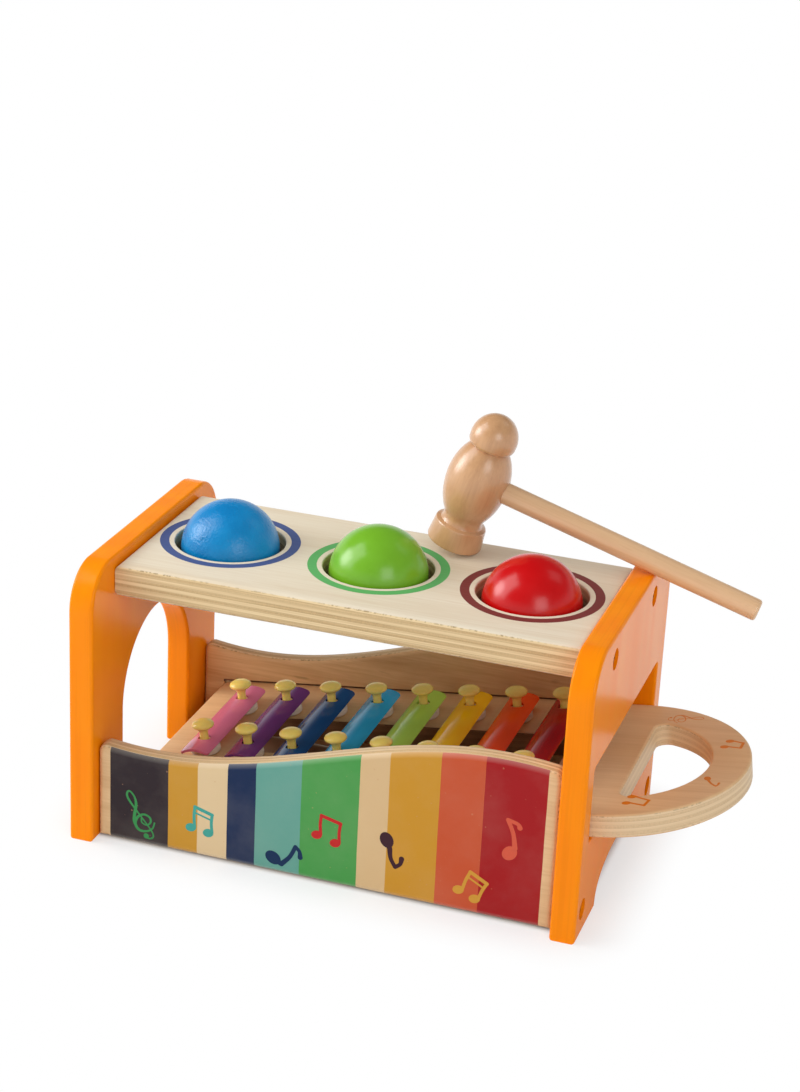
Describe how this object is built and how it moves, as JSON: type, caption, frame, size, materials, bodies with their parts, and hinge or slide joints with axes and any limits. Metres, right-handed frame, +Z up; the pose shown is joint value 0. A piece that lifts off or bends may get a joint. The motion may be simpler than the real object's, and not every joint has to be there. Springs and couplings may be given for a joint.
{
  "type": "xylophone pounding bench",
  "caption": "Wooden toy bench with balls to pound through round holes onto a tilted slide-out xylophone tray, with a small turned mallet.",
  "frame": {"origin": "on the floor under the centre of the whole toy's box, handle and mallet included", "axes": "+X along the bench towards the tray's handle, -Y towards the striped front, +Z up"},
  "size_m": [0.294, 0.142, 0.1948],
  "materials": {
    "orange_paint": "glossy orange paint on board",
    "plywood": "clear lacquer on birch plywood",
    "tray_plywood": "clear lacquer on plywood",
    "beech": "clear lacquer on turned hardwood",
    "rubber": "matte black sheet",
    "screws": "yellow passivated",
    "blue_paint": "glossy blue paint",
    "green_paint": "glossy green paint",
    "red_paint": "glossy red paint",
    "pins": "satin cream",
    "spacers": "soft white",
    "bar_pink": "translucent enamel on steel",
    "bar_purple": "translucent enamel on steel",
    "bar_navy": "translucent enamel on steel",
    "bar_sky_blue": "translucent enamel on steel",
    "bar_light_green": "translucent enamel on steel",
    "bar_yellow": "translucent enamel on steel",
    "bar_orange_red": "translucent enamel on steel",
    "bar_dark_red": "translucent enamel on steel"
  },
  "bodies": {
    "bench": {"left_end_panel": "orange_paint", "right_end_panel": "orange_paint", "top_board": "plywood", "front_panel": "plywood", "rear_panel": "plywood", "ball_grip_sheet": "rubber", "screw_left_top_front": "screws", "screw_left_top_rear": "screws", "screw_left_low_front": "screws", "screw_left_low_rear": "screws", "screw_right_top_front": "screws", "screw_right_top_rear": "screws", "screw_right_low_front": "screws", "screw_right_low_rear": "screws"},
    "blue_ball": {"blue_ball": "blue_paint"},
    "green_ball": {"green_ball": "green_paint"},
    "red_ball": {"red_ball": "red_paint"},
    "xylophone": {"xylophone_board": "tray_plywood", "bar_pink": "bar_pink", "bar_purple": "bar_purple", "bar_navy": "bar_navy", "bar_sky_blue": "bar_sky_blue", "bar_light_green": "bar_light_green", "bar_yellow": "bar_yellow", "bar_orange_red": "bar_orange_red", "bar_dark_red": "bar_dark_red", "pin_front_1": "pins", "pin_rear_1": "pins", "pin_front_2": "pins", "pin_rear_2": "pins", "pin_front_3": "pins", "pin_rear_3": "pins", "pin_front_4": "pins", "pin_rear_4": "pins", "pin_front_5": "pins", "pin_rear_5": "pins", "pin_front_6": "pins", "pin_rear_6": "pins", "pin_front_7": "pins", "pin_rear_7": "pins", "pin_front_8": "pins", "pin_rear_8": "pins", "spacer_front_1": "spacers", "spacer_rear_1": "spacers", "spacer_front_2": "spacers", "spacer_rear_2": "spacers", "spacer_front_3": "spacers", "spacer_rear_3": "spacers", "spacer_front_4": "spacers", "spacer_rear_4": "spacers", "spacer_front_5": "spacers", "spacer_rear_5": "spacers", "spacer_front_6": "spacers", "spacer_rear_6": "spacers", "spacer_front_7": "spacers", "spacer_rear_7": "spacers", "spacer_front_8": "spacers", "spacer_rear_8": "spacers"},
    "mallet": {"mallet_head": "beech", "mallet_handle": "beech"}
  },
  "joints": [
    {"name": "blue_ball_drop", "type": "slide", "parent": "bench", "child": "blue_ball", "axis": [0, 0, 1], "range_m": [-0.0615, 0.03], "deforming": ["ball_grip_sheet"]},
    {"name": "green_ball_drop", "type": "slide", "parent": "bench", "child": "green_ball", "axis": [0, 0, 1], "range_m": [-0.052, 0.03], "deforming": ["ball_grip_sheet"]},
    {"name": "red_ball_drop", "type": "slide", "parent": "bench", "child": "red_ball", "axis": [0, 0, 1], "range_m": [-0.0405, 0.03], "deforming": ["ball_grip_sheet"]},
    {"name": "xylophone_slide", "type": "slide", "parent": "bench", "child": "xylophone", "axis": [0.991, 0, 0.134], "range_m": [0, 0.22]},
    {"name": "mallet_lift", "type": "slide", "parent": "bench", "child": "mallet", "axis": [0, 0, 1], "range_m": [0, 0.06]}
  ]
}
